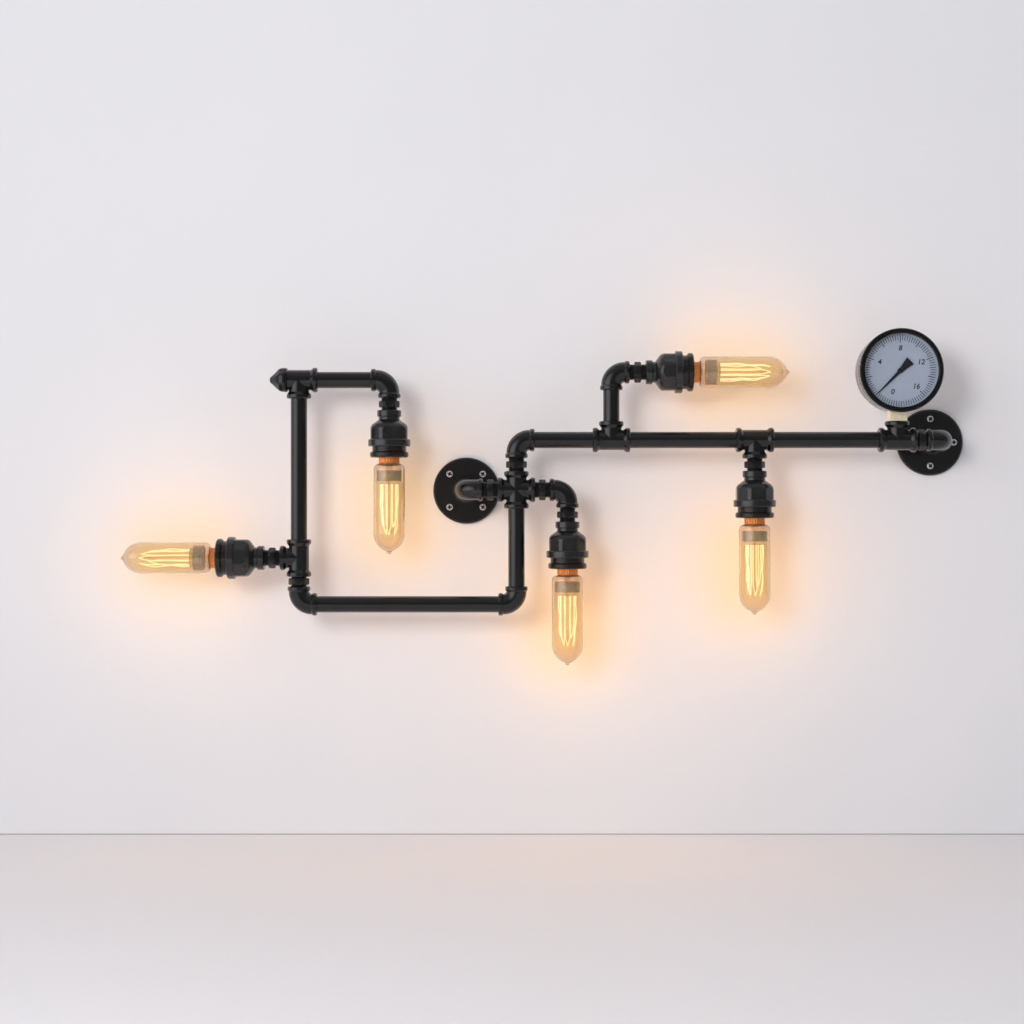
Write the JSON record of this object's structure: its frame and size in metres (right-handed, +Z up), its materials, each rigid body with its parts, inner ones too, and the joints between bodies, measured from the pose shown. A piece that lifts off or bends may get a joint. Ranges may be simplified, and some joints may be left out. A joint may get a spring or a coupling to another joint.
{
  "type": "wall light",
  "caption": "Wall light of black pipe and cast pipe fittings on two round wall flanges, with tubular filament lamps pointing left, right and down and a dial gauge on top.",
  "frame": {"origin": "centre of the left wall flange's back face, on the wall", "axes": "+X along the long pipes to the right of someone facing the light, +Y into the wall, +Z up"},
  "size_m": [1.1154, 0.1531, 0.4355],
  "materials": {
    "flange": "black satin paint on cast iron",
    "fitting": "black satin paint on cast iron",
    "end_cap": "black satin paint on cast iron",
    "pipe": "black satin paint on steel pipe",
    "hexagon": "black satin paint on steel",
    "reducer": "black satin paint on cast iron",
    "skirt": "black moulded, matt",
    "core": "white insulator",
    "contact": "bright brass",
    "screw": "bright zinc plate",
    "lamp_cap": "brass, slightly dull",
    "lamp_glass": "clear amber glass",
    "filament": "glowing filament on its glass and wire mount",
    "gauge_case": "drawn steel",
    "gauge_bezel": "black gloss paint",
    "gauge_window": "clear flat glass",
    "gauge_dial": "matt pale paint",
    "gauge_needle": "matt black paint",
    "gauge_stem": "machined brass",
    "gauge_works": "stamped and machined brass"
  },
  "bodies": {
    "light": {"flange_left": "flange", "flange_right": "flange", "flange_elbows": "fitting", "cross": "fitting", "tee_top_left": "fitting", "tee_lamp_1": "fitting", "tee_lamp_4": "fitting", "tee_lamp_5": "fitting", "tee_gauge": "fitting", "elbow_bottom_left": "fitting", "elbow_bottom_right": "fitting", "elbow_top_middle": "fitting", "elbow_lamp_2": "fitting", "elbow_lamp_3": "fitting", "elbow_lamp_4": "fitting", "end_cap": "end_cap", "flange_nipples": "pipe", "pipe_left_upright": "pipe", "pipe_top_left": "pipe", "pipe_bottom": "pipe", "pipe_middle_upright": "pipe", "pipe_long_left": "pipe", "pipe_long_middle": "pipe", "pipe_long_right": "pipe", "pipe_riser": "pipe", "hex_nipples": "hexagon", "reducer_lamp_1": "reducer", "reducer_lamp_2": "reducer", "reducer_lamp_3": "reducer", "reducer_lamp_4": "reducer", "reducer_lamp_5": "reducer", "lampholder_skirts": "skirt", "lampholder_cores": "core", "lampholder_contacts": "contact", "wall_screws": "screw", "gauge_case": "gauge_case", "gauge_bezel": "gauge_bezel", "gauge_window": "gauge_window", "gauge_dial": "gauge_dial", "gauge_stem": "gauge_stem", "movement_frame": "gauge_works", "pressure_tube": "gauge_works"},
    "sector": {"gauge_sector": "gauge_works"},
    "needle": {"gauge_needle": "gauge_needle", "gauge_pinion": "gauge_works"},
    "bulb_1": {"bulb_glass_1": "lamp_glass", "bulb_cap_1": "lamp_cap", "bulb_filament_1": "filament"},
    "bulb_2": {"bulb_glass_2": "lamp_glass", "bulb_cap_2": "lamp_cap", "bulb_filament_2": "filament"},
    "bulb_3": {"bulb_glass_3": "lamp_glass", "bulb_cap_3": "lamp_cap", "bulb_filament_3": "filament"},
    "bulb_4": {"bulb_glass_4": "lamp_glass", "bulb_cap_4": "lamp_cap", "bulb_filament_4": "filament"},
    "bulb_5": {"bulb_glass_5": "lamp_glass", "bulb_cap_5": "lamp_cap", "bulb_filament_5": "filament"}
  },
  "joints": [
    {"name": "sector_swing", "type": "hinge", "parent": "light", "child": "sector", "pos_m": [0.5503, -0.09, 0.13271], "axis": [0, 1, 0], "range_deg": [-38.57, 0]},
    {"name": "needle_turn", "type": "hinge", "parent": "light", "child": "needle", "pos_m": [0.5623, -0.09, 0.1535], "axis": [0, 1, 0], "range_deg": [0, 270.1]},
    {"name": "bulb_1_withdraw", "type": "slide", "parent": "light", "child": "bulb_1", "axis": [-1, 0, 0], "range_m": [0, 0.045]},
    {"name": "bulb_2_withdraw", "type": "slide", "parent": "light", "child": "bulb_2", "axis": [0, 0, -1], "range_m": [0, 0.045]},
    {"name": "bulb_3_withdraw", "type": "slide", "parent": "light", "child": "bulb_3", "axis": [0, 0, -1], "range_m": [0, 0.045]},
    {"name": "bulb_4_withdraw", "type": "slide", "parent": "light", "child": "bulb_4", "axis": [1, 0, 0], "range_m": [0, 0.045]},
    {"name": "bulb_5_withdraw", "type": "slide", "parent": "light", "child": "bulb_5", "axis": [0, 0, -1], "range_m": [0, 0.045]}
  ],
  "couplings": [
    {"joint": "needle_turn", "follows": "sector_swing", "ratio": -7}
  ]
}
